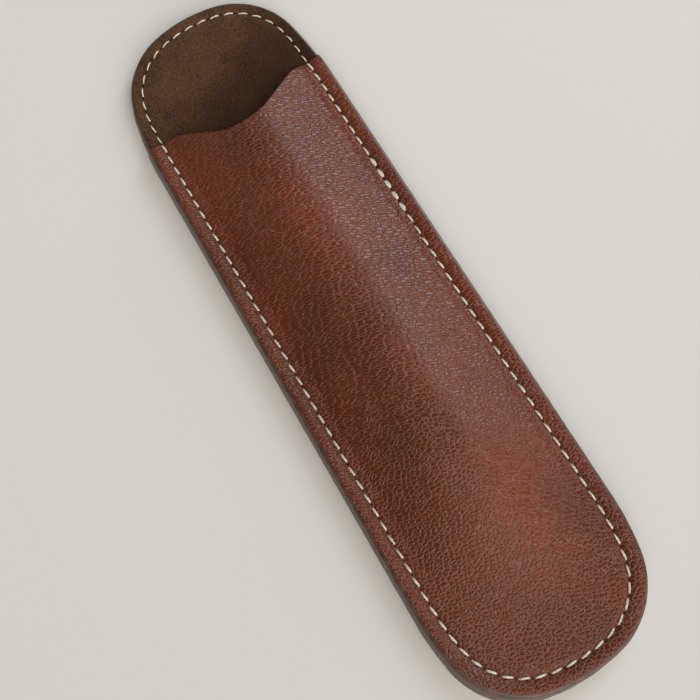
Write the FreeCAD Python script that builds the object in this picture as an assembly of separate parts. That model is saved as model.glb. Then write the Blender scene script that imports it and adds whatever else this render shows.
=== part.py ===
import FreeCAD, Part
import math
import os

# A slip sleeve for one pen, lying on its back, in millimetres.
# X runs across it, Y from the toe to the tip of the tongue, Z up from the table.

# Outline: parallel sides, each end rounded by shoulder, corner and crown arcs
sleeve_length = 165.0
sleeve_width = 44.0
tongue_shoulder_radius = 80.0
tongue_shoulder_angle = 11.0
tongue_crown_radius = 33.0
tongue_crown_angle = 13.0
toe_shoulder_radius = 53.0
toe_shoulder_angle = 12.0
toe_crown_radius = 36.0
toe_crown_angle = 12.0

# Leather, suede and edge coat
back_thickness = 1.4
lining_thickness = 0.8
front_thickness = 1.2
coat_thickness = 0.6
rim_land = 0.1

# Mouth of the pocket, with its thumb scoop
tongue_reach = 25.0
scoop_depth = 10.3
scoop_radius = 9.3
scoop_shoulder_radius = 6.5

# Swell of the front panel over the pen
pocket_rise = 9.0
root_gap = 0.5
swell_crown_radius = 9.5
swell_root_radius = 7.0
toe_gap = 5.0
toe_slope = 42.0
slope_root_run = 12.0
slope_crown_run = 16.0

# Lockstitch round the whole edge
stitch_inset = 3.2
stitch_pitch = 3.1
thread_diameter = 0.5
hole_gap = 0.5
groove_clearance = 0.2
top_groove_depth = 0.3
stitch_end_scale = 0.5
stitch_sides = 6

# Levels and lines that follow from those sizes
half_width = sleeve_width / 2
tip_y = sleeve_length / 2
mouth_y = tip_y - tongue_reach
lining_level = back_thickness
seam_level = lining_level + lining_thickness
flange_level = seam_level + front_thickness
rim_bevel = coat_thickness - rim_land
back_groove_depth = thread_diameter
groove_half = thread_diameter / 2 + groove_clearance
groove_outer = stitch_inset - groove_half
groove_inner = stitch_inset + groove_half
swell_half = half_width - groove_inner - root_gap
swell_toe_y = -tip_y + groove_inner + toe_gap
swell_full_y = swell_toe_y + toe_slope
clear_height = flange_level + 2 * pocket_rise


def point(x, y, z=0.0):
    return FreeCAD.Vector(x, y, z)


def end_points(inset, shoulder_radius, shoulder_angle, crown_radius, crown_angle):
    """Points round one end, from the side to the tip: joints and middles of its arcs."""
    half = half_width - inset
    shoulder = shoulder_radius - inset
    crown = crown_radius - inset
    turn = math.radians(shoulder_angle)
    cap = math.radians(crown_angle)
    side_loss = shoulder * (1 - math.cos(turn))
    corner = (half - side_loss - crown * math.sin(cap)) / (math.cos(turn) - math.sin(cap))
    tip = tip_y - inset
    crown_centre = (0.0, tip - crown)
    corner_centre = (
        (crown - corner) * math.sin(cap),
        crown_centre[1] + (crown - corner) * math.cos(cap),
    )
    shoulder_centre = (half - shoulder, corner_centre[1] - (shoulder - corner) * math.sin(turn))

    def on(centre, radius, angle):
        return (centre[0] + radius * math.cos(angle), centre[1] + radius * math.sin(angle))

    crown_start = math.pi / 2 - cap
    return [
        on(shoulder_centre, shoulder, 0.0),
        on(shoulder_centre, shoulder, turn / 2),
        on(corner_centre, corner, turn),
        on(corner_centre, corner, (turn + crown_start) / 2),
        on(corner_centre, corner, crown_start),
        on(crown_centre, crown, math.pi / 2),
    ]


def outline(inset):
    """Closed wire of the sleeve's outline, moved in by the inset."""
    tongue = end_points(
        inset, tongue_shoulder_radius, tongue_shoulder_angle, tongue_crown_radius, tongue_crown_angle
    )
    toe = end_points(inset, toe_shoulder_radius, toe_shoulder_angle, toe_crown_radius, toe_crown_angle)
    edges = []
    for points, flip in ((tongue, 1), (toe, -1)):
        right = [point(x, flip * y) for x, y in points]
        left = [point(-x, flip * y) for x, y in points]
        for side in (right, left):
            edges.append(Part.Arc(side[0], side[1], side[2]).toShape())
            edges.append(Part.Arc(side[2], side[3], side[4]).toShape())
        edges.append(Part.Arc(right[4], right[5], left[4]).toShape())
    for side in (1, -1):
        start = point(side * toe[0][0], -toe[0][1])
        end = point(side * tongue[0][0], tongue[0][1])
        edges.append(Part.LineSegment(start, end).toShape())
    return Part.Wire(Part.__sortEdges__(edges))


def slab(inset, low, high):
    """Solid of the outline between two levels."""
    face = Part.Face(outline(inset))
    face.translate(point(0, 0, low))
    return face.extrude(point(0, 0, high - low))


def ring(outer_inset, inner_inset, low, high):
    """Solid band along the edge between two insets and two levels."""
    return slab(outer_inset, low, high).cut(slab(inner_inset, low, high))


def block(x_low, x_high, y_low, y_high, z_low, z_high):
    box = Part.makeBox(x_high - x_low, y_high - y_low, z_high - z_low)
    box.translate(point(x_low, y_low, z_low))
    return box


def stretch(y_low, y_high):
    """Block that holds one stretch of the sleeve along its length."""
    return block(-sleeve_width, sleeve_width, y_low, y_high, -clear_height, clear_height)


body_stretch = stretch(-sleeve_length, mouth_y)
tongue_stretch = stretch(mouth_y, sleeve_length)


def back_panel():
    panel = slab(coat_thickness, 0, back_thickness)
    return panel.cut(ring(groove_outer, groove_inner, 0, back_groove_depth))


def back_lining():
    suede = slab(coat_thickness, lining_level, seam_level)
    groove = ring(groove_outer, groove_inner, seam_level - top_groove_depth, seam_level)
    return suede.cut(groove.common(tongue_stretch))


def ogee(run, height, low_radius, high_radius):
    """Curve that leaves level, climbs and ends level: its arcs' ends and middles, and its turn."""
    radii = low_radius + high_radius
    turn = math.asin(radii / math.hypot(run, radii - height)) - math.atan2(radii - height, run)

    def low(angle):
        return low_radius * math.sin(angle), low_radius * (1 - math.cos(angle))

    def high(angle):
        return run - high_radius * math.sin(angle), height - high_radius * (1 - math.cos(angle))

    return [low(0), low(turn / 2), low(turn), high(turn), high(turn / 2), high(0)], turn


def ogee_edges(line):
    return [
        Part.Arc(line[0], line[1], line[2]).toShape(),
        Part.LineSegment(line[2], line[3]).toShape(),
        Part.Arc(line[3], line[4], line[5]).toShape(),
    ]


def swell_straight(side):
    """Half of the swell beside the mouth, the same all along: crown, flank and root."""
    places, turn = ogee(swell_half, pocket_rise, swell_crown_radius, swell_root_radius)
    line = [point(side * x, swell_full_y, seam_level + pocket_rise - drop) for x, drop in places]
    return [edge.extrude(point(0, sleeve_length - swell_full_y, 0)) for edge in ogee_edges(line)]


def swell_slope(side):
    """The same half where it runs out to the toe, level where it starts and where it ends."""
    places, turn = ogee(swell_half, pocket_rise, swell_crown_radius, swell_root_radius)
    middle_weight = math.cos(turn / 2)
    crown_pole = (swell_crown_radius * math.tan(turn / 2), 0)
    root_pole = (swell_half - swell_root_radius * math.tan(turn / 2), pocket_rise)
    strips = [
        [(places[0], 1), (crown_pole, middle_weight), (places[2], 1)],
        [(places[2], 1), (places[3], 1)],
        [(places[3], 1), (root_pole, middle_weight), (places[5], 1)],
    ]
    rows = [
        (swell_full_y, 1),
        (swell_full_y - slope_crown_run, 1),
        (swell_toe_y + slope_root_run, 0),
        (swell_toe_y, 0),
    ]
    faces = []
    for strip in strips:
        patch = Part.BezierSurface()
        patch.increase(len(rows) - 1, len(strip) - 1)
        for row, (y, share) in enumerate(rows, 1):
            for column, ((x, drop), weight) in enumerate(strip, 1):
                pole = point(side * x, y, seam_level + share * (pocket_rise - drop))
                patch.setPole(row, column, pole)
                patch.setWeight(row, column, weight)
        faces.append(patch.toShape())
    return faces


def scoop_cutter():
    """Everything above the mouth: square across the seam, then round into the thumb scoop."""
    places, turn = ogee(swell_half, scoop_depth, scoop_radius, scoop_shoulder_radius)
    edges = []
    for side in (1, -1):
        line = [point(side * x, mouth_y - scoop_depth + rise) for x, rise in places]
        corner = point(side * sleeve_width, mouth_y)
        top = point(side * sleeve_width, sleeve_length)
        edges += ogee_edges(line)
        edges.append(Part.LineSegment(line[-1], corner).toShape())
        edges.append(Part.LineSegment(corner, top).toShape())
        edges.append(Part.LineSegment(top, point(0, sleeve_length)).toShape())
    face = Part.Face(Part.Wire(Part.__sortEdges__(edges)))
    return face.extrude(point(0, 0, clear_height))


def front_panel():
    """Flat along the seam, swelled over the pen, then cut to the outline, the scoop and the groove."""
    thickness = point(0, 0, front_thickness)
    pieces = [block(-swell_half, swell_half, -sleeve_length, swell_toe_y, seam_level, flange_level)]
    for side in (1, -1):
        pieces += [face.extrude(thickness) for face in swell_straight(side) + swell_slope(side)]
        x_low, x_high = sorted((side * swell_half, side * sleeve_width))
        pieces.append(block(x_low, x_high, -sleeve_length, sleeve_length, seam_level, flange_level))
    leather = pieces[0].multiFuse(pieces[1:])
    leather = leather.common(slab(coat_thickness, 0, clear_height))
    groove = ring(groove_outer, groove_inner, flange_level - top_groove_depth, clear_height)
    return leather.cut(scoop_cutter()).cut(groove)


def coat_band(height):
    """Coat of one height all round, with its outer rims bevelled."""
    stack = slab(0, 0, height)
    rims = [edge for edge in stack.Edges if edge.Vertexes[0].Z == edge.Vertexes[-1].Z]
    return stack.makeChamfer(rim_bevel, rims).cut(slab(coat_thickness, 0, height))


def edge_coat():
    body = coat_band(flange_level).common(body_stretch)
    tongue = coat_band(seam_level).common(tongue_stretch)
    return body.fuse(tongue).removeSplitter()


def seam_holes(part_of_seam):
    """Needle holes along one stretch of the seam, evenly spaced near the stitch pitch."""
    line = outline(stitch_inset).common(part_of_seam)
    path = Part.Wire(Part.__sortEdges__(line.Edges))
    count = max(2, round(path.Length / stitch_pitch))
    return path.discretize(Number=count + 1)


def stitch(start, end, floor, rise):
    """One stitch between two holes, thickest at its middle, flat side on the floor level."""
    along = end - start
    length = along.Length
    along.normalize()
    across = point(-along.y, along.x)
    middle = (start + end) / 2
    sections = []
    for place, scale in ((-0.5, stitch_end_scale), (0.0, 1.0), (0.5, stitch_end_scale)):
        centre = middle + along * place * (length - hole_gap)
        radius = thread_diameter / 2 * scale
        flat = radius * math.cos(math.pi / stitch_sides)
        corners = []
        for index in range(stitch_sides + 1):
            angle = 2 * math.pi * (index + 0.5) / stitch_sides - math.pi / 2
            out = across * radius * math.cos(angle)
            up = point(0, 0, rise * (flat + radius * math.sin(angle)))
            corners.append(centre + out + up + point(0, 0, floor))
        sections.append(Part.makePolygon(corners))
    return Part.makeLoft(sections, True, True)


def row_of_stitches(part_of_seam, floor, rise):
    holes = seam_holes(part_of_seam)
    return [stitch(start, end, floor, rise) for start, end in zip(holes, holes[1:])]


def needle_thread():
    body = row_of_stitches(body_stretch, flange_level - top_groove_depth, 1)
    tongue = row_of_stitches(tongue_stretch, seam_level - top_groove_depth, 1)
    return Part.makeCompound(body + tongue)


def bobbin_thread():
    body = row_of_stitches(body_stretch, back_groove_depth, -1)
    tongue = row_of_stitches(tongue_stretch, back_groove_depth, -1)
    return Part.makeCompound(body + tongue)


os.makedirs("parts", exist_ok=True)
for make in (back_panel, back_lining, front_panel, edge_coat, needle_thread, bobbin_thread):
    shape = make()
    shape.exportStep("parts/" + make.__name__ + ".step")
    box = shape.optimalBoundingBox()
    size = [round(length, 2) for length in (box.XLength, box.YLength, box.ZLength)]
    print(make.__name__, "solids", len(shape.Solids), "valid", shape.isValid(), "size", size)
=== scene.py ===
import bmesh
import bpy
import math
from mathutils import Matrix, Vector, noise


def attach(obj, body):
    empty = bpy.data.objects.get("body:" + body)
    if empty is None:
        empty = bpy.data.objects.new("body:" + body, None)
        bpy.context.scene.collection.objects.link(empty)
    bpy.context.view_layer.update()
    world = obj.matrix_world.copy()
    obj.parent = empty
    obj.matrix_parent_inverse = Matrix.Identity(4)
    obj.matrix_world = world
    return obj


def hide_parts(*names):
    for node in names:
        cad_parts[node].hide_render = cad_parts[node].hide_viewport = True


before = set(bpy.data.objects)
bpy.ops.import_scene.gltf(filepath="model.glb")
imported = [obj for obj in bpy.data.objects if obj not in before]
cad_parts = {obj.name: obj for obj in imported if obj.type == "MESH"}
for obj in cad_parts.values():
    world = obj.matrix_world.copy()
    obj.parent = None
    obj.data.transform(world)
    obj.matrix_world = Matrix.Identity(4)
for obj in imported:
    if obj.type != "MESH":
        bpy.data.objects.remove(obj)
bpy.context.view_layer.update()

# Sizes below are in millimetres, and each mesh is scaled to metres when it is done
# Angles given as values are in degrees, apart from one that is named for its radians
metre_per_mm = 0.001

# Outline of the sleeve, as its solids have it
sleeve_length = 165.0
sleeve_width = 44.0
tongue_arcs = dict(shoulder=80.0, shoulder_angle=11.0, crown=33.0, crown_angle=13.0)
toe_arcs = dict(shoulder=53.0, shoulder_angle=12.0, crown=36.0, crown_angle=12.0)
half_width = sleeve_width / 2
tip_y = sleeve_length / 2

# Layers from the table up
back_thickness = 1.4
lining_thickness = 0.8
front_thickness = 1.2
lining_level = back_thickness
seam_level = lining_level + lining_thickness
flange_level = seam_level + front_thickness

# Coat on the edge of the layers, which reach a little into it
coat_thickness = 0.6
coat_overlap = 0.15
cut_inset = coat_thickness - coat_overlap

# Mouth and thumb scoop
tongue_length = 25.0
mouth_y = tip_y - tongue_length
scoop_depth = 10.3
scoop_radius = 9.3
scoop_shoulder_radius = 6.5
scoop_shift = -1.0
scoop_fade = 45.0
mouth_roll = 0.55
mouth_roll_depth = 0.4
corner_press = 0.5
corner_press_run = 2.5
tongue_curl = 1.6

# Swell that leaves room for a pen: crisp at the mouth, slacker and rounder further down
swell_half = 17.85
swell_root_radius = 3.5
mouth_rise = 9.0
mouth_crown_radius = 9.5
slack_rise = 8.2
slack_crown_radius = 13.0
slack_start_y = 50.0
slack_run = 50.0
swell_toe_y = -73.85
swell_slope = 42.0
undulation = 0.16
undulation_size = 11.0
undulation_seed = 1.7

# Seam
stitch_inset = 3.2
stitch_pitch = 3.1
thread_diameter = 0.5
seam_dip = 0.45
seam_dip_width = 0.7
seam_hold_run = 4.0
pillow_rise = 0.24
left_pillow_rise = 0.31
left_pillow_start = 6.0
left_pillow_run = 9.0
pillow_inset = 1.0
pillow_width = 1.2
tongue_relief_share = 0.5
tongue_stitch_shift = 0.6
tongue_stitch_run = 8.0


# Stitch line
def arc(x, y, radius, first, last):
    """One arc of an outline: its length, and a function from a distance to a point and the way out."""

    def place(distance):
        angle = first + distance / radius
        out = Vector((math.cos(angle), math.sin(angle), 0.0))
        return Vector((x, y, 0.0)) + radius * out, out

    return radius * (last - first), place


def straight(x, low, high):
    """The straight side of an outline, in the same form as an arc."""

    def place(distance):
        return Vector((x, low + distance, 0.0)), Vector((1.0, 0.0, 0.0))

    return high - low, place


def end_arcs(inset, shoulder, shoulder_angle, crown, crown_angle):
    """Arcs of an end, as if at the tongue, from the side to the tip: centre, radius and two angles."""
    half = half_width - inset
    shoulder = shoulder - inset
    crown = crown - inset
    turn = math.radians(shoulder_angle)
    cap = math.radians(crown_angle)
    side_loss = shoulder * (1 - math.cos(turn))
    corner = (half - side_loss - crown * math.sin(cap)) / (math.cos(turn) - math.sin(cap))
    crown_y = tip_y - inset - crown
    corner_x = (crown - corner) * math.sin(cap)
    corner_y = crown_y + (crown - corner) * math.cos(cap)
    shoulder_y = corner_y - (shoulder - corner) * math.sin(turn)
    return [
        (half - shoulder, shoulder_y, shoulder, 0.0, turn),
        (corner_x, corner_y, corner, turn, math.pi / 2 - cap),
        (0.0, crown_y, crown, math.pi / 2 - cap, math.pi / 2),
    ]


def half_outline(inset):
    """Right half of the outline from the toe's tip to the tongue's tip, as a list of its pieces."""
    toe = end_arcs(inset, **toe_arcs)
    tongue = end_arcs(inset, **tongue_arcs)
    pieces = [arc(x, -y, radius, -last, -first) for x, y, radius, first, last in reversed(toe)]
    pieces.append(straight(half_width - inset, -toe[0][1], tongue[0][1]))
    return pieces + [arc(*piece) for piece in tongue]


seam_line = half_outline(stitch_inset)
seam_length = sum(length for length, place in seam_line)


def on_seam(distance):
    """Point of the stitch line at a distance from the toe's tip, positive on the right, and the way out."""
    remaining = min(abs(distance), seam_length)
    pieces = list(seam_line)
    length, place = pieces.pop(0)
    while pieces and remaining > length:
        remaining -= length
        length, place = pieces.pop(0)
    point, out = place(remaining)
    if distance < 0:
        point.x = -point.x
        out.x = -out.x
    return point, out


def past_tip(distance):
    """A distance that runs on past the tongue's tip, counted down the left side instead."""
    return distance - 2 * seam_length if distance > seam_length else distance


halvings = 40


def distance_at(height):
    """Distance along the stitch line at which its right half reaches a place on the Y axis."""
    low, high = 0.0, seam_length
    for halving in range(halvings):
        middle = (low + high) / 2
        if on_seam(middle)[0].y < height:
            low = middle
        else:
            high = middle
    return middle


mouth_distance = distance_at(mouth_y)
tongue_run = 2 * (seam_length - mouth_distance)
body_stitches = round(2 * mouth_distance / stitch_pitch)
tongue_stitches = round(tongue_run / stitch_pitch)
body_pitch = 2 * mouth_distance / body_stitches
tongue_pitch = tongue_run / tongue_stitches


# Forms of the leather
def ogee_height(place, run, height, low_radius, high_radius):
    """Height at a place along a curve that leaves level, climbs straight and ends level."""
    place = min(max(place, 0.0), run)
    radii = low_radius + high_radius
    turn = math.asin(radii / math.hypot(run, radii - height)) - math.atan2(radii - height, run)
    low_end = low_radius * math.sin(turn)
    high_start = run - high_radius * math.sin(turn)
    if place < low_end:
        return low_radius - math.sqrt(low_radius**2 - place**2)
    if place > high_start:
        return height - high_radius + math.sqrt(high_radius**2 - (run - place) ** 2)
    return low_radius * (1 - math.cos(turn)) + (place - low_end) * math.tan(turn)


def smooth(share):
    """A share between 0 and 1, with a soft start and a soft end."""
    share = min(max(share, 0.0), 1.0)
    return share * share * (3 - 2 * share)


def ripple(x, y, size, seed):
    """Gentle unevenness, between about -1 and 1."""
    return noise.noise(Vector((x / size, y / size, seed)))


def swell(x, y):
    """Rise of the front leather above its flat edge."""
    slack = smooth((slack_start_y - y) / slack_run)
    rise = mouth_rise + slack * (slack_rise - mouth_rise)
    crown = mouth_crown_radius + slack * (slack_crown_radius - mouth_crown_radius)
    fall = ogee_height(abs(x), swell_half, rise, crown, swell_root_radius)
    return (rise - fall) * smooth((y - swell_toe_y) / swell_slope)


def scoop_drop(x):
    """How far the thumb scoop cuts down below the mouth's corners."""
    away = abs(x - scoop_shift * (1 - min(abs(x) / swell_half, 1.0)))
    return scoop_depth - ogee_height(away, swell_half, scoop_depth, scoop_radius, scoop_shoulder_radius)


def stitch_shift(distance):
    """Along the tongue the stitches run nearer to the edge than along the pocket."""
    return tongue_stitch_shift * smooth((abs(distance) - mouth_distance) / tongue_stitch_run)


def tongue_lift(y):
    """The bare tongue curls up a little towards its tip."""
    return tongue_curl * max(0.0, (y - mouth_y) / (tip_y - mouth_y)) ** 2


def pressed(distance):
    """The pocket's edge is pressed down where it ends at the mouth."""
    below = mouth_distance - abs(distance)
    return corner_press * max(0.0, 1 - below / corner_press_run) ** 2


def stitch_dip(inset):
    """How far the stitches draw the leather in."""
    return seam_dip * math.exp(-(((inset - stitch_inset) / seam_dip_width) ** 2))


def seam_relief(x, inset):
    """The stitches pull the leather down, and the strip outside them stands up, most on the left."""
    rise = pillow_rise + left_pillow_rise * smooth((-x - left_pillow_start) / left_pillow_run)
    return rise * math.exp(-(((inset - pillow_inset) / pillow_width) ** 2)) - stitch_dip(inset)


# Meshes
merge_distance = 0.001


def new_strip(columns, rows):
    """A flat grid whose X and Y run from 0 to 1."""
    mesh = bmesh.new()
    bmesh.ops.create_grid(mesh, x_segments=columns, y_segments=rows, size=0.5)
    bmesh.ops.translate(mesh, verts=mesh.verts, vec=(0.5, 0.5, 0.0))
    return mesh


def mesh_data(name, mesh):
    """The data of an object from a mesh, which is freed."""
    data = bpy.data.meshes.new(name)
    mesh.to_mesh(data)
    mesh.free()
    return data


def linked(name, data):
    """An object in the scene that holds its data."""
    item = bpy.data.objects.new(name, data)
    bpy.context.scene.collection.objects.link(item)
    return item


def mesh_object(name, mesh, material):
    """An object in metres from a mesh in millimetres."""
    bmesh.ops.scale(mesh, vec=(metre_per_mm,) * 3, verts=mesh.verts)
    data = mesh_data(name, mesh)
    data.materials.append(material)
    return linked(name, data)


def finish_piece(mesh, name, node, material):
    """Turns a mesh into a smooth piece that stands for one node of the frame."""
    for face in mesh.faces:
        face.smooth = True
    piece = mesh_object(name, mesh, material)
    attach(piece, "root")
    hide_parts(node)
    return piece


def joined(meshes):
    """Several meshes as one."""
    whole = bmesh.new()
    for mesh in meshes:
        data = mesh_data("part", mesh)
        whole.from_mesh(data)
        bpy.data.meshes.remove(data)
    return whole


# Panels: strips whose rows follow the edge, and further in run to the middle line
strip_rows = 30
strip_inset = 6.0
toe_pole_y = -62.0
tongue_pole_y = 64.0


def inset_at(share, rows):
    """Inset of a row: even steps across the seam strip, then wider ones to the middle line."""
    strip_share = strip_rows / rows
    if share <= strip_share:
        return cut_inset + (strip_inset - cut_inset) * share / strip_share
    return strip_inset + (share - strip_share) / (1 - strip_share) * (half_width - strip_inset)


def panel_point(distance, inset):
    """Place on the outline's plane: parallel to the edge near it, then running to the middle line."""
    seam, out = on_seam(distance)
    if inset <= strip_inset:
        return seam + out * (stitch_inset - inset)
    inner = seam + out * (stitch_inset - strip_inset)
    share = (inset - strip_inset) / (half_width - strip_inset)
    spine = Vector((0.0, min(max(inner.y, toe_pole_y), tongue_pole_y), 0.0))
    return inner.lerp(spine, share)


def shape_panel(mesh, rows, distance_of, place_of):
    """Moves a strip's vertices onto the outline, and keeps distances and insets as its seam map."""
    seam_map = mesh.loops.layers.uv.new("seam")
    where = {}
    for vert in mesh.verts:
        distance = distance_of(vert.co.x)
        inset = inset_at(vert.co.y, rows)
        where[vert] = (distance, inset)
        vert.co = place_of(panel_point(distance, inset), distance, inset)
    for face in mesh.faces:
        for loop in face.loops:
            distance, inset = where[loop.vert]
            loop[seam_map].uv = (abs(distance), inset + stitch_shift(distance))


def thicken(mesh, drop, lowest):
    """Gives a sheet its second side, lower by the drop and never below the lowest level."""
    made = bmesh.ops.extrude_face_region(mesh, geom=mesh.faces[:])
    for vert in made["geom"]:
        if isinstance(vert, bmesh.types.BMVert):
            vert.co.z = max(vert.co.z - drop, lowest)
    bmesh.ops.recalc_face_normals(mesh, faces=mesh.faces)


def panel(columns, rows, distance_of, place_of, drop, lowest):
    """One layer of the sleeve as a closed mesh."""
    mesh = new_strip(columns, rows)
    shape_panel(mesh, rows, distance_of, place_of)
    bmesh.ops.remove_doubles(mesh, verts=mesh.verts, dist=merge_distance)
    thicken(mesh, drop, lowest)
    return mesh


# Front leather: flat along the seam, swelled over the pocket, with the scooped mouth
front_columns = 520
front_rows = 66
mouth_crowding = 0.3


def front_distance(share):
    """Columns crowd together towards the mouth, where the cut edge rolls over."""
    side = 2 * share - 1
    below = 1 - abs(side)
    below = (below**2 + mouth_crowding * below) / (1 + mouth_crowding)
    return math.copysign(mouth_distance * (1 - below), side)


def front_point(point, distance, inset):
    """Place on the front's upper face, the scoop cut and the mouth's edge rolled over."""
    below = mouth_distance - abs(distance)
    x = point.x
    y = point.y - scoop_drop(x) * max(0.0, 1 - below / scoop_fade) ** 2
    roll = mouth_roll_depth * max(0.0, 1 - below / mouth_roll) ** 2
    inside = smooth((inset - stitch_inset) / seam_hold_run)
    wave = undulation * inside * ripple(x, y, undulation_size, undulation_seed)
    press = pressed(distance) * (1 - inside)
    z = flange_level + swell(x, y) + seam_relief(x, inset) + wave - roll - press
    return Vector((x, y, z))


def front_leather(material):
    mesh = panel(front_columns, front_rows, front_distance, front_point, front_thickness, seam_level)
    return finish_piece(mesh, "front_leather", "front_panel", material)


# Suede lining: shows on the tongue and in the pocket
lining_columns = 420
lining_rows = 56


def whole_distance(share):
    """Even columns all the way round, from the tongue's tip to the tongue's tip."""
    return (2 * share - 1) * seam_length


def lining_point(point, distance, inset):
    """Place on the lining's upper face, which shows the stitches' pull only on the bare tongue."""
    z = seam_level + tongue_lift(point.y)
    if abs(distance) > mouth_distance:
        z += tongue_relief_share * seam_relief(point.x, inset + stitch_shift(distance))
    return Vector((point.x, point.y, z))


def suede_lining(material):
    mesh = panel(lining_columns, lining_rows, whole_distance, lining_point, lining_thickness, lining_level)
    return finish_piece(mesh, "suede_lining", "back_lining", material)


# Back leather: flat on the table, drawn in along the stitches
def back_point(point, distance, inset):
    """Place on the back's under face."""
    dip = stitch_dip(inset + stitch_shift(distance))
    return Vector((point.x, point.y, dip + tongue_lift(point.y)))


def back_leather(material):
    mesh = panel(lining_columns, lining_rows, whole_distance, back_point, -back_thickness, 0.0)
    return finish_piece(mesh, "back_leather", "back_panel", material)


# Edge coat: painted bead round all the layers, higher along the pocket than along the tongue
coat_columns = 360
tongue_coat_columns = coat_columns // 2
coat_rows = 20
coat_bulge = 0.12
tongue_coat_shift = -0.12
coat_shoulder = 0.65
coat_foot = 0.3
coat_tuck = 0.15
coat_lip = -0.02
coat_lump = 0.07
coat_lump_size = 2.6
coat_lean = 1.5
coat_lean_way = Vector((-0.78, -0.62, 0.0))


def coat_section(angle, height):
    """Place out and up at an angle round the coat: a wide round shoulder outside, tucked in inside."""
    out = math.cos(angle)
    rise = math.sin(angle)
    across = out * (coat_shoulder if out > 0 else coat_tuck)
    if rise > 0:
        return across, height - coat_shoulder * (1 - rise)
    return across, coat_foot * (1 + rise)


def coat_point(distance, angle, top, shift, relief_share):
    """Place on the coat: along the stitch line, and at an angle round its section."""
    seam, out = on_seam(distance)
    lump = coat_lump * ripple(distance, 0.0, coat_lump_size, shift)
    height = top + coat_lip + relief_share * seam_relief(seam.x, cut_inset)
    if abs(distance) <= mouth_distance:
        height -= pressed(distance)
    across, up = coat_section(angle, height)
    lean = coat_lean * max(0.0, out.dot(coat_lean_way)) ** 2 * (1 - up / height)
    middle = seam + out * (stitch_inset + coat_bulge - coat_shoulder + shift)
    point = middle + out * (across + (lump + lean) * max(0.0, math.cos(angle)))
    point.z = up
    if top == seam_level:
        point.z += tongue_lift(point.y)
    return point


def coat_strip(first, last, columns, top, shift, relief_share):
    """One stretch of the coat between two distances along the stitch line."""
    mesh = new_strip(columns, coat_rows)
    for vert in mesh.verts:
        distance = past_tip(first + (last - first) * vert.co.x)
        angle = 2 * math.pi * vert.co.y
        vert.co = coat_point(distance, angle, top, shift, relief_share)
    bmesh.ops.remove_doubles(mesh, verts=mesh.verts, dist=merge_distance)
    ends = [edge for edge in mesh.edges if edge.is_boundary]
    bmesh.ops.holes_fill(mesh, edges=ends)
    bmesh.ops.recalc_face_normals(mesh, faces=mesh.faces)
    return mesh


def coated_edge(material):
    body_form = dict(top=flange_level, shift=0.0, relief_share=1.0)
    tongue_form = dict(top=seam_level, shift=tongue_coat_shift, relief_share=tongue_relief_share)
    body = coat_strip(-mouth_distance, mouth_distance, coat_columns, **body_form)
    tongue_end = 2 * seam_length - mouth_distance
    tongue = coat_strip(mouth_distance, tongue_end, tongue_coat_columns, **tongue_form)
    return finish_piece(joined([body, tongue]), "coated_edge", "edge_coat", material)


# Stitches: two-ply dashes that dive into their needle holes
stitch_gap = 0.55
stitch_bow = 0.22
stitch_dive = 0.3
stitch_slant = 0.14
slant_variation = 0.8
slant_row = 0.3
slant_seed = 5.1
stitch_seed_step = 0.37
twist_radians = 3.2
ply_depth = 0.12
thread_sides = 8
thread_rings = 8
tongue_thread = 0.34
tongue_bow = -0.12
tongue_sink = 0.06
backstitch_low = 14.0
backstitch_high = 29.0
backstitch_spread = 0.2


def stitch(mesh, start, end, level, side, thickness, seed, shift):
    """One dash between two holes, on the level of its leather; side is 1 on top and -1 below."""
    made = bmesh.ops.create_uvsphere(mesh, u_segments=thread_sides, v_segments=thread_rings, radius=1.0)
    along = end - start
    length = along.length - stitch_gap
    along.normalize()
    across = Vector((-along.y, along.x, 0.0))
    middle = (start + end) / 2
    slant = stitch_slant * (1 + slant_variation * ripple(seed, slant_row, 1.0, slant_seed))
    for vert in made["verts"]:
        place = vert.co.z
        angle = math.atan2(vert.co.y, vert.co.x)
        full = math.sqrt(max(0.0, 1 - place**4))
        ply = 1 + ply_depth * math.cos(2 * (angle - twist_radians * place))
        radius = thickness / 2 * full * ply
        bow = stitch_bow * (1 - place**2) - stitch_dive * place**4
        aside = slant * place + shift * (1 - place**2) + radius * math.cos(angle)
        spot = middle + along * (place * length / 2) + across * aside
        spot.z = level + side * (bow + radius * math.sin(angle)) + tongue_lift(middle.y)
        vert.co = spot


def seam_holes(first, last, count):
    """Needle holes between two distances along the stitch line."""
    holes = []
    for index in range(count + 1):
        distance = past_tip(first + (last - first) * index / count)
        point, out = on_seam(distance)
        holes.append(point + out * stitch_shift(distance))
    return holes


def is_backstitch(start):
    """The seam was sewn over twice on a short stretch of the right side, where it was started."""
    return start.x > 0 and backstitch_low < start.y < backstitch_high


def row_of_stitches(mesh, holes, level, side, thickness, aside):
    """A dash from each hole to the next, and two side by side where the seam was sewn over twice."""
    for index, (start, end) in enumerate(zip(holes, holes[1:])):
        shifts = (backstitch_spread, -backstitch_spread) if is_backstitch(start) else (aside,)
        for shift in shifts:
            stitch(mesh, start, end, level, side, thickness, stitch_seed_step * index + shift, shift)


def stitch_rows(name, node, material, body_level, tongue_level, side):
    """The stitches of one side of the seam, along the pocket and round the tongue."""
    mesh = bmesh.new()
    body = seam_holes(-mouth_distance, mouth_distance, body_stitches)
    tongue = seam_holes(mouth_distance, 2 * seam_length - mouth_distance, tongue_stitches)
    row_of_stitches(mesh, body, body_level, side, thread_diameter, 0.0)
    row_of_stitches(mesh, tongue, tongue_level, side, tongue_thread, tongue_bow)
    bmesh.ops.recalc_face_normals(mesh, faces=mesh.faces)
    return finish_piece(mesh, name, node, material)


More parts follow.
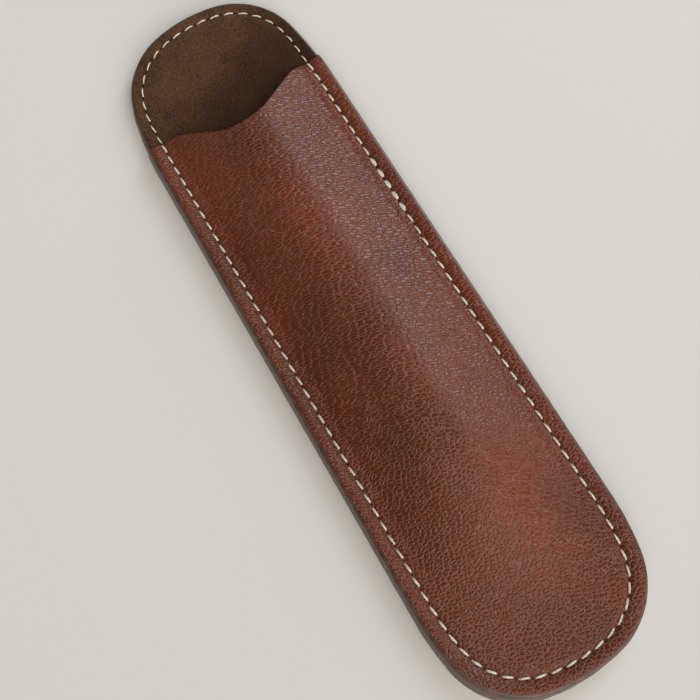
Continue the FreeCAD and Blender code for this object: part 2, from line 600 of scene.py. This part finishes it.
def needle_stitches(material):
    body_level = flange_level - seam_dip
    tongue_level = seam_level - tongue_relief_share * seam_dip - tongue_sink
    return stitch_rows("needle_stitches", "needle_thread", material, body_level, tongue_level, 1)


def bobbin_stitches(material):
    level = stitch_bow + thread_diameter * (1 + ply_depth) / 2
    return stitch_rows("bobbin_stitches", "bobbin_thread", material, level, level, -1)


# Colours and nodes that the materials share
def srgb(red, green, blue):
    """Linear colour from the 0 to 255 values of a picture."""

    def linear(value):
        value = value / 255
        return value / 12.92 if value <= 0.04045 else ((value + 0.055) / 1.055) ** 2.4

    return (linear(red), linear(green), linear(blue), 1.0)


def new_material(name):
    """An empty material with its shader, and the shader's tree."""
    material = bpy.data.materials.new(name)
    material.use_nodes = True
    tree = material.node_tree
    return material, tree, tree.nodes["Principled BSDF"]


def connect(tree, node, sockets):
    """Fills a node's sockets; each value is a number, a colour or another node's output."""
    for socket, value in sockets.items():
        if isinstance(value, bpy.types.NodeSocket):
            tree.links.new(value, node.inputs[socket])
        else:
            node.inputs[socket].default_value = value


def add(tree, kind, sockets, **settings):
    """Adds a node with its settings and its sockets."""
    node = tree.nodes.new(kind)
    for name, value in settings.items():
        setattr(node, name, value)
    connect(tree, node, sockets)
    return node


def maths(tree, operation, first, second):
    return add(tree, "ShaderNodeMath", {0: first, 1: second}, operation=operation).outputs[0]


def plus(tree, first, second):
    return maths(tree, "ADD", first, second)


def minus(tree, first, second):
    return maths(tree, "SUBTRACT", first, second)


def times(tree, first, second):
    return maths(tree, "MULTIPLY", first, second)


def dot(tree, first, second):
    """How far one vector goes along another."""
    node = add(tree, "ShaderNodeVectorMath", {0: first, 1: second}, operation="DOT_PRODUCT")
    return node.outputs["Value"]


def fade(tree, value, low, high):
    """0 below the low value, 1 above the high one, smooth between them."""
    sockets = {"Value": value, "From Min": low, "From Max": high}
    return add(tree, "ShaderNodeMapRange", sockets, interpolation_type="SMOOTHSTEP").outputs[0]


def blend(tree, share, first, second):
    """Mix of two colours."""
    return add(tree, "ShaderNodeMix", {0: share, 6: first, 7: second}, data_type="RGBA").outputs[2]


def mix(tree, share, first, second):
    """Mix of two numbers."""
    return add(tree, "ShaderNodeMix", {0: share, 2: first, 3: second}).outputs[0]


def millimetres(tree):
    """The piece's own coordinates, in millimetres."""
    own = add(tree, "ShaderNodeTexCoord", {}).outputs["Object"]
    return add(tree, "ShaderNodeMapping", {"Vector": own, "Scale": (1 / metre_per_mm,) * 3}).outputs[0]


# Clouds of noise: how detailed they are, and the values that most of one lies between
plain_detail = 2.0
fine_detail = 3.0
rich_detail = 4.0
cloud_dark = 0.3
cloud_middle = 0.5
cloud_light = 0.7


def cloud(tree, vector, size, detail=plain_detail, output="Fac"):
    """Noise whose patches have a size in millimetres."""
    sockets = {"Vector": vector, "Scale": 1.0 / size, "Detail": detail}
    return add(tree, "ShaderNodeTexNoise", sockets).outputs[output]


def wandering(tree, vector, size, amount):
    """The same coordinates, pushed about by up to half the amount."""
    colour = cloud(tree, vector, size, output="Color")
    middle = (cloud_middle,) * 3
    shift = add(tree, "ShaderNodeVectorMath", {0: colour, 1: middle}, operation="SUBTRACT").outputs[0]
    push = add(tree, "ShaderNodeVectorMath", {0: shift, "Scale": amount}, operation="SCALE").outputs[0]
    return add(tree, "ShaderNodeVectorMath", {0: vector, 1: push}).outputs[0]


def stretched(tree, vector, size, turn):
    """Coordinates in units of a size along and across a direction, turned from X."""
    sockets = {"Vector": vector, "Rotation": (0.0, 0.0, math.radians(turn)), "Scale": size}
    return add(tree, "ShaderNodeMapping", sockets, vector_type="TEXTURE").outputs[0]


def cells(tree, vector):
    """Distance from the nearest line of a flat net of cells, in cell sizes."""
    settings = dict(voronoi_dimensions="2D", feature="DISTANCE_TO_EDGE")
    sockets = {"Vector": vector, "Scale": 1.0}
    return add(tree, "ShaderNodeTexVoronoi", sockets, **settings).outputs["Distance"]


def lines(tree, net, width):
    """1 on the lines of a net of cells, 0 beyond a width from them."""
    return minus(tree, 1.0, fade(tree, net, 0.0, width))


def embossed(tree, height, strength, depth):
    """The way that a surface faces when a height of 1 stands up by the depth in millimetres."""
    sockets = {"Strength": strength, "Distance": depth * metre_per_mm, "Height": height}
    return add(tree, "ShaderNodeBump", sockets).outputs[0]


# Needle holes, drawn on the seam map and filled with painted shade
hole_radius = 0.14
hole_rim_radius = 0.32


def squared(tree, value):
    return times(tree, value, value)


def needle_holes(tree, pitch):
    """1 in each needle hole, 0 away from it."""
    seam = add(tree, "ShaderNodeUVMap", {}, uv_map="seam").outputs[0]
    parts = add(tree, "ShaderNodeSeparateXYZ", {0: seam}).outputs
    along = maths(tree, "PINGPONG", minus(tree, parts["X"], mouth_distance), pitch / 2)
    across = minus(tree, parts["Y"], stitch_inset)
    away = maths(tree, "POWER", plus(tree, squared(tree, along), squared(tree, across)), 0.5)
    return minus(tree, 1.0, fade(tree, away, hole_radius, hole_rim_radius))


# Grained leather: wrinkles across it near the mouth, rounder pebbles towards the toe
# Lines, grooves and domes have widths in cell sizes, and their shares make up one height
leather_dark = srgb(88, 36, 13)
leather_light = srgb(106, 45, 18)
# The next colour is a painted highlight, laid on the grain's net lines and creases where they catch the
# light
leather_line_highlight = srgb(138, 80, 54)
# The needle holes' dark colour is painted shade
leather_hole_shade = srgb(16, 8, 6)
leather_specular = 0.38
tone_size = 16.0
drift_size = 9.0
drift = 1.2
waver_size = 1.4
waver = 0.4
wrinkle_size = (1.7, 0.62, 1.0)
wrinkle_turn = -22.0
wrinkle_highlight_width = 0.15
pebble_size = (1.05, 0.76, 1.0)
pebble_turn = -20.0
pebble_highlight_width = 0.34
line_highlight_share = 0.4
pebbled_below = 2.0
wrinkled_above = 12.0
grain_scatter = 60.0
grain_scatter_size = 6.0
uneven_size = 0.8
uneven_share = 0.45
crease_size = (6.0, 2.2, 1.0)
crease_turn = -12.0
crease_line = 0.04
crease_patch_size = 13.0
crease_patch_edge = 0.46
crease_patch_core = 0.6
crease_depth = 0.4
crease_highlight_share = 0.8
groove_width = 0.24
groove_share = 0.85
dome_width = 0.5
dome_share = 0.3
pore_size = 0.3
pore_share = 0.25
grain_strength = 1.0
grain_depth = 0.15
gloss_line = 0.12
cell_roughness = 0.27
line_roughness = 0.5


def wrinkled_part(tree, place):
    """1 where the leather is wrinkled, 0 where it is pebbled, with a scattered change between them."""
    along = add(tree, "ShaderNodeSeparateXYZ", {0: place}).outputs["Y"]
    scatter = times(tree, cloud(tree, place, grain_scatter_size), grain_scatter)
    return fade(tree, plus(tree, along, scatter), pebbled_below, wrinkled_above)


def grain_net(tree, place, bent, wrinkled):
    """The net of the grain's cells, a little uneven."""
    wrinkles = cells(tree, stretched(tree, bent, wrinkle_size, wrinkle_turn))
    pebbles = cells(tree, stretched(tree, bent, pebble_size, pebble_turn))
    uneven = minus(tree, cloud(tree, place, uneven_size), cloud_middle)
    return plus(tree, mix(tree, wrinkled, pebbles, wrinkles), times(tree, uneven, uneven_share))


def leather_creases(tree, place, bent):
    """1 on a few long creases, which come in patches, 0 beside them."""
    long_net = cells(tree, stretched(tree, bent, crease_size, crease_turn))
    patches = fade(tree, cloud(tree, place, crease_patch_size), crease_patch_edge, crease_patch_core)
    return times(tree, lines(tree, long_net, crease_line), patches)


def grain_height(tree, place, net, creases):
    """Cells with sunken lines between them and slightly domed faces, fine pores, and the creases."""
    groove = times(tree, fade(tree, net, 0.0, groove_width), groove_share)
    dome = times(tree, fade(tree, net, 0.0, dome_width), dome_share)
    pores = times(tree, cloud(tree, place, pore_size, fine_detail), pore_share)
    height = plus(tree, plus(tree, groove, dome), pores)
    return minus(tree, height, times(tree, creases, crease_depth))


def leather_colour(tree, place, net, wrinkled, creases):
    """Two tones of brown, with a painted highlight along the net and the creases, and painted shade in the
    needle holes.
    """
    tone = fade(tree, cloud(tree, place, tone_size, fine_detail), cloud_dark, cloud_light)
    colour = blend(tree, tone, leather_dark, leather_light)
    highlit_lines = lines(tree, net, mix(tree, wrinkled, pebble_highlight_width, wrinkle_highlight_width))
    # Painted highlight along the net lines, and below it along the creases
    colour = blend(tree, times(tree, highlit_lines, line_highlight_share), colour, leather_line_highlight)
    colour = blend(tree, times(tree, creases, crease_highlight_share), colour, leather_line_highlight)
    return blend(tree, needle_holes(tree, body_pitch), colour, leather_hole_shade)


def grained_leather(name):
    material, tree, shader = new_material(name)
    place = millimetres(tree)
    bent = wandering(tree, wandering(tree, place, drift_size, drift), waver_size, waver)
    wrinkled = wrinkled_part(tree, place)
    net = grain_net(tree, place, bent, wrinkled)
    creases = leather_creases(tree, place, bent)
    height = grain_height(tree, place, net, creases)
    finish = {
        "Base Color": leather_colour(tree, place, net, wrinkled, creases),
        "Roughness": mix(tree, lines(tree, net, gloss_line), cell_roughness, line_roughness),
        "Specular IOR Level": leather_specular,
        "Normal": embossed(tree, height, grain_strength, grain_depth),
    }
    connect(tree, shader, finish)
    return material


# Napped suede: mottled, with a swept nap, and painted shade darkening it towards the thumb scoop
suede_dark = srgb(60, 35, 19)
suede_light = srgb(86, 57, 36)
suede_lip_shade = srgb(44, 21, 8)
# The needle holes' dark colour is painted shade
suede_hole_shade = srgb(22, 12, 7)
suede_roughness = 1.0
suede_specular = 0.05
suede_sheen = 0.12
suede_sheen_roughness = 0.5
mottle_size = 7.0
mottle_dark = 0.32
mottle_light = 0.68
nap_dark = srgb(30, 16, 8)
nap_light = srgb(104, 74, 50)
nap_share = 0.45
nap_size = (0.6, 0.3, 0.4)
nap_turn = 60.0
nap_drift_size = 3.0
nap_drift = 2.4
nap_strength = 0.8
nap_depth = 0.2
# Painted shade: the suede darkens towards the scoop, where the swell's raised lip shades it
lip_shade_way = (0.5, -0.85, 0.0)
lip_shade_start = -62.5
lip_shade_full = -42.5
lip_shade_share = 0.7


def suede_nap(tree, place):
    """Short tufts, swept along a direction that drifts."""
    drifting = wandering(tree, place, nap_drift_size, nap_drift)
    return cloud(tree, stretched(tree, drifting, nap_size, nap_turn), 1.0, fine_detail)


def suede_colour(tree, place, nap):
    """Mottled brown, shaded by the nap, with painted shade from the scoop's raised lip and in the needle
    holes.
    """
    mottle = cloud(tree, place, mottle_size, rich_detail)
    mottled = blend(tree, fade(tree, mottle, mottle_dark, mottle_light), suede_dark, suede_light)
    shaded = blend(tree, fade(tree, nap, mottle_dark, mottle_light), nap_dark, nap_light)
    colour = blend(tree, nap_share, mottled, shaded)
    # Painted shade cast by the scoop's raised lip
    lip_shade = fade(tree, dot(tree, place, lip_shade_way), lip_shade_start, lip_shade_full)
    colour = blend(tree, times(tree, lip_shade, lip_shade_share), colour, suede_lip_shade)
    return blend(tree, needle_holes(tree, tongue_pitch), colour, suede_hole_shade)


def napped_suede():
    material, tree, shader = new_material("napped_suede")
    place = millimetres(tree)
    nap = suede_nap(tree, place)
    finish = {
        "Base Color": suede_colour(tree, place, nap),
        "Roughness": suede_roughness,
        "Specular IOR Level": suede_specular,
        "Sheen Weight": suede_sheen,
        "Sheen Roughness": suede_sheen_roughness,
        "Normal": embossed(tree, nap, nap_strength, nap_depth),
    }
    connect(tree, shader, finish)
    return material


# Edge paint: streaked, and rougher where it is paler
paint_dark = srgb(66, 42, 30)
paint_light = srgb(92, 64, 50)
paint_smooth = 0.3
paint_rough = 0.46
streak_size = 2.0
streak_strength = 0.4
streak_depth = 0.1


def edge_paint():
    material, tree, shader = new_material("edge_paint")
    streak = cloud(tree, millimetres(tree), streak_size, rich_detail)
    finish = {
        "Base Color": blend(tree, fade(tree, streak, cloud_dark, cloud_light), paint_dark, paint_light),
        "Roughness": mix(tree, streak, paint_smooth, paint_rough),
        "Normal": embossed(tree, streak, streak_strength, streak_depth),
    }
    connect(tree, shader, finish)
    return material


# Waxed thread: cream, with its fibres showing
thread_dark = srgb(172, 157, 132)
thread_light = srgb(226, 218, 199)
thread_roughness = 0.6
fibre_size = 0.35
fibre_strength = 0.4
fibre_depth = 0.08


def waxed_thread():
    material, tree, shader = new_material("waxed_thread")
    fibre = cloud(tree, millimetres(tree), fibre_size, fine_detail)
    finish = {
        "Base Color": blend(tree, fade(tree, fibre, cloud_dark, cloud_light), thread_dark, thread_light),
        "Roughness": thread_roughness,
        "Normal": embossed(tree, fibre, fibre_strength, fibre_depth),
    }
    connect(tree, shader, finish)
    return material


# Floor
floor_half = 2000.0
floor_colour = srgb(214, 207, 196)
floor_roughness = 0.8


def pale_floor():
    mesh = bmesh.new()
    bmesh.ops.create_grid(mesh, x_segments=1, y_segments=1, size=floor_half)
    material, tree, shader = new_material("pale_floor")
    connect(tree, shader, {"Base Color": floor_colour, "Roughness": floor_roughness})
    floor = mesh_object("floor", mesh, material)


# Light: one wide soft light from the toe's end, a low cool lamp on the right, and a dim room
soft_light_way = Vector((0.0, -0.84, 0.54)).normalized()
soft_light_edge = 0.5
soft_light_core = 0.97
soft_light_strength = 2.65
room_strength = 0.16
white = (1.0, 1.0, 1.0, 1.0)
lamp_place = Vector((710.0, 290.0, 360.0))
lamp_width = 500.0
lamp_height = 660.0
lamp_spread = 75.0
lamp_watts = 1.2
lamp_colour = (0.78, 0.89, 1.0)


def soft_room():
    world = bpy.data.worlds.new("studio")
    world.use_nodes = True
    bpy.context.scene.world = world
    tree = world.node_tree
    way = add(tree, "ShaderNodeTexCoord", {}).outputs["Generated"]
    share = fade(tree, dot(tree, way, soft_light_way), soft_light_edge, soft_light_core)
    strength = mix(tree, share, room_strength, soft_light_strength)
    connect(tree, tree.nodes["Background"], {"Color": white, "Strength": strength})


def cool_lamp():
    light = bpy.data.lights.new("window", "AREA")
    light.shape = "RECTANGLE"
    light.size = lamp_width * metre_per_mm
    light.size_y = lamp_height * metre_per_mm
    light.spread = math.radians(lamp_spread)
    light.energy = lamp_watts
    light.color = lamp_colour
    lamp = linked("window", light)
    lamp.location = lamp_place * metre_per_mm
    lamp.rotation_euler = (-lamp_place).to_track_quat("-Z", "Y").to_euler()


# Camera at the photograph's viewing angle
camera_place = Vector((-17.368, -59.611, 192.617))
camera_ahead = Vector((0.05459, 0.27279, -0.96052)).normalized()
camera_up = Vector((0.50398, 0.82291, 0.26235))
camera_sensor = 36.0
camera_lens = 49.455
camera_nearest = 5.0


def photo_camera():
    right = camera_ahead.cross(camera_up).normalized()
    up = right.cross(camera_ahead)
    data = bpy.data.cameras.new("camera")
    data.sensor_width = camera_sensor
    data.lens = camera_lens
    data.clip_start = camera_nearest * metre_per_mm
    camera = linked("camera", data)
    turn = Matrix((right, up, -camera_ahead)).transposed().to_4x4()
    camera.matrix_world = Matrix.Translation(camera_place * metre_per_mm) @ turn
    bpy.context.scene.camera = camera


# The whole scene
thread = waxed_thread()
front_leather(grained_leather("front_leather"))
suede_lining(napped_suede())
back_leather(grained_leather("back_leather"))
coated_edge(edge_paint())
needle_stitches(thread)
bobbin_stitches(thread)
pale_floor()
soft_room()
cool_lamp()
photo_camera()
bpy.context.scene.view_settings.view_transform = "Standard"
